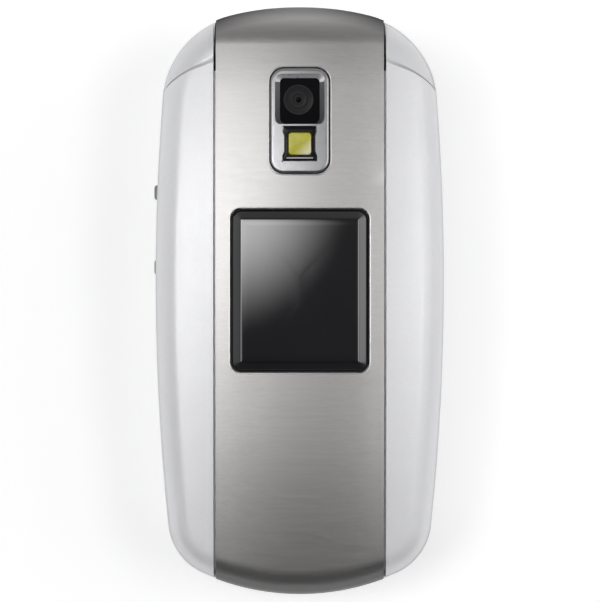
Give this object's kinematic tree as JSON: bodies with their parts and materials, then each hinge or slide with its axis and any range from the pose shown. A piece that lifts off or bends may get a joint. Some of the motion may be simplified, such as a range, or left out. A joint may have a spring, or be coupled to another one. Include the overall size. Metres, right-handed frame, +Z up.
{
  "type": "flip phone",
  "caption": "Compact clamshell mobile phone with a silver lid on a barrel hinge, a brushed metal band, an outer display window, a camera with flash, and a press-key pad inside.",
  "frame": {"origin": "under the middle of the phone, on the plane it lies on", "axes": "+X across to the right, +Y along the phone towards the hinge, +Z up through the closed lid"},
  "size_m": [0.043, 0.087, 0.0232],
  "materials": {
    "pearl": "pearl silver paint on plastic",
    "band": "brushed along the width",
    "chrome": "bright",
    "black_glass": "gloss black window",
    "flash_black": "gloss black",
    "flash_led": "yellow-green phosphor under clear resin",
    "lens_barrel": "black camera module",
    "inner_cover": "satin silver",
    "display": "display panel",
    "board": "green circuit board",
    "steel": "plain",
    "acetal": "plain",
    "flex": "amber film",
    "rubber": "matte",
    "domes": "film with metal domes",
    "speaker": "black",
    "battery": "plain pack",
    "keys": "silver-grey keys"
  },
  "bodies": {
    "base": {"base_front_cover": "pearl", "base_rear_cover": "pearl", "battery": "battery", "sim_holder": "steel", "main_board": "board", "shield_can": "steel", "dome_sheet": "domes", "keypad_mat": "rubber", "speaker_module": "speaker", "vibration_motor": "steel", "board_parts": "acetal", "accessory_socket": "steel", "base_screws": "steel", "hinge_shaft": "steel", "hinge_pin": "steel"},
    "lid": {"lid_outer_shell": "pearl", "lid_band": "band", "outer_window": "black_glass", "camera_bezel": "chrome", "camera_window": "black_glass", "camera_module": "lens_barrel", "flash_frame": "flash_black", "flash_led": "flash_led", "lid_inner_cover": "inner_cover", "main_window": "black_glass", "main_display": "display", "lid_board": "board", "outer_display": "display", "earpiece": "lens_barrel", "earpiece_mesh": "steel", "lid_magnet": "steel", "lid_bumpers": "rubber", "lid_screws": "steel", "hinge_capsule": "steel", "hinge_follower": "acetal", "hinge_spring": "steel", "hinge_bush": "acetal", "flex_cable": "flex"},
    "cover": {"battery_cover": "pearl"},
    "key_1": {"key_1": "keys"},
    "key_2": {"key_2": "keys"},
    "key_3": {"key_3": "keys"},
    "key_4": {"key_4": "keys"},
    "key_5": {"key_5": "keys"},
    "key_6": {"key_6": "keys"},
    "key_7": {"key_7": "keys"},
    "key_8": {"key_8": "keys"},
    "key_9": {"key_9": "keys"},
    "key_star": {"key_star": "keys"},
    "key_0": {"key_0": "keys"},
    "key_hash": {"key_hash": "keys"},
    "key_clear": {"key_clear": "keys"},
    "key_send": {"key_send": "keys"},
    "key_end": {"key_end": "keys"},
    "key_soft_left": {"key_soft_left": "keys"},
    "key_soft_right": {"key_soft_right": "keys"},
    "key_ok": {"key_ok": "chrome"},
    "nav_carrier": {"nav_carrier": "steel"},
    "nav_ring": {"nav_ring": "chrome"},
    "volume_key": {"volume_key": "chrome"}
  },
  "joints": [
    {"name": "lid_hinge", "type": "hinge", "parent": "base", "child": "lid", "pos_m": [0, 0.03678, 0.014], "axis": [-1, 0, 0], "range_deg": [0, 160]},
    {"name": "battery_cover_slide", "type": "slide", "parent": "base", "child": "cover", "axis": [0, -1, 0], "range_m": [0, 0.012]},
    {"name": "key_1_press", "type": "slide", "parent": "base", "child": "key_1", "axis": [0, 0, -1], "range_m": [0, 0.0003], "stiffness_N_per_m": 500, "springref_m": -0.0004},
    {"name": "key_2_press", "type": "slide", "parent": "base", "child": "key_2", "axis": [0, 0, -1], "range_m": [0, 0.0003], "stiffness_N_per_m": 500, "springref_m": -0.0004},
    {"name": "key_3_press", "type": "slide", "parent": "base", "child": "key_3", "axis": [0, 0, -1], "range_m": [0, 0.0003], "stiffness_N_per_m": 500, "springref_m": -0.0004},
    {"name": "key_4_press", "type": "slide", "parent": "base", "child": "key_4", "axis": [0, 0, -1], "range_m": [0, 0.0003], "stiffness_N_per_m": 500, "springref_m": -0.0004},
    {"name": "key_5_press", "type": "slide", "parent": "base", "child": "key_5", "axis": [0, 0, -1], "range_m": [0, 0.0003], "stiffness_N_per_m": 500, "springref_m": -0.0004},
    {"name": "key_6_press", "type": "slide", "parent": "base", "child": "key_6", "axis": [0, 0, -1], "range_m": [0, 0.0003], "stiffness_N_per_m": 500, "springref_m": -0.0004},
    {"name": "key_7_press", "type": "slide", "parent": "base", "child": "key_7", "axis": [0, 0, -1], "range_m": [0, 0.0003], "stiffness_N_per_m": 500, "springref_m": -0.0004},
    {"name": "key_8_press", "type": "slide", "parent": "base", "child": "key_8", "axis": [0, 0, -1], "range_m": [0, 0.0003], "stiffness_N_per_m": 500, "springref_m": -0.0004},
    {"name": "key_9_press", "type": "slide", "parent": "base", "child": "key_9", "axis": [0, 0, -1], "range_m": [0, 0.0003], "stiffness_N_per_m": 500, "springref_m": -0.0004},
    {"name": "key_star_press", "type": "slide", "parent": "base", "child": "key_star", "axis": [0, 0, -1], "range_m": [0, 0.0003], "stiffness_N_per_m": 500, "springref_m": -0.0004},
    {"name": "key_0_press", "type": "slide", "parent": "base", "child": "key_0", "axis": [0, 0, -1], "range_m": [0, 0.0003], "stiffness_N_per_m": 500, "springref_m": -0.0004},
    {"name": "key_hash_press", "type": "slide", "parent": "base", "child": "key_hash", "axis": [0, 0, -1], "range_m": [0, 0.0003], "stiffness_N_per_m": 500, "springref_m": -0.0004},
    {"name": "key_clear_press", "type": "slide", "parent": "base", "child": "key_clear", "axis": [0, 0, -1], "range_m": [0, 0.0003], "stiffness_N_per_m": 500, "springref_m": -0.0004},
    {"name": "key_send_press", "type": "slide", "parent": "base", "child": "key_send", "axis": [0, 0, -1], "range_m": [0, 0.0003], "stiffness_N_per_m": 500, "springref_m": -0.0004},
    {"name": "key_end_press", "type": "slide", "parent": "base", "child": "key_end", "axis": [0, 0, -1], "range_m": [0, 0.0003], "stiffness_N_per_m": 500, "springref_m": -0.0004},
    {"name": "key_soft_left_press", "type": "slide", "parent": "base", "child": "key_soft_left", "axis": [0, 0, -1], "range_m": [0, 0.0003], "stiffness_N_per_m": 500, "springref_m": -0.0004},
    {"name": "key_soft_right_press", "type": "slide", "parent": "base", "child": "key_soft_right", "axis": [0, 0, -1], "range_m": [0, 0.0003], "stiffness_N_per_m": 500, "springref_m": -0.0004},
    {"name": "key_ok_press", "type": "slide", "parent": "base", "child": "key_ok", "axis": [0, 0, -1], "range_m": [0, 0.0003], "stiffness_N_per_m": 500, "springref_m": -0.0004},
    {"name": "nav_tilt_side", "type": "hinge", "parent": "base", "child": "nav_carrier", "pos_m": [0, 0.0165, 0.0118], "axis": [0, 1, 0], "range_deg": [-1.5, 1.5], "stiffness_Nm_per_rad": 0.03},
    {"name": "nav_tilt_up", "type": "hinge", "parent": "nav_carrier", "child": "nav_ring", "pos_m": [0, 0.0165, 0.0118], "axis": [1, 0, 0], "range_deg": [-1.5, 1.5], "stiffness_Nm_per_rad": 0.03},
    {"name": "volume_rock", "type": "hinge", "parent": "base", "child": "volume_key", "pos_m": [-0.0198, 0.01055, 0.0097], "axis": [0, 0, 1], "range_deg": [-1.5, 1.5], "stiffness_Nm_per_rad": 0.03}
  ]
}
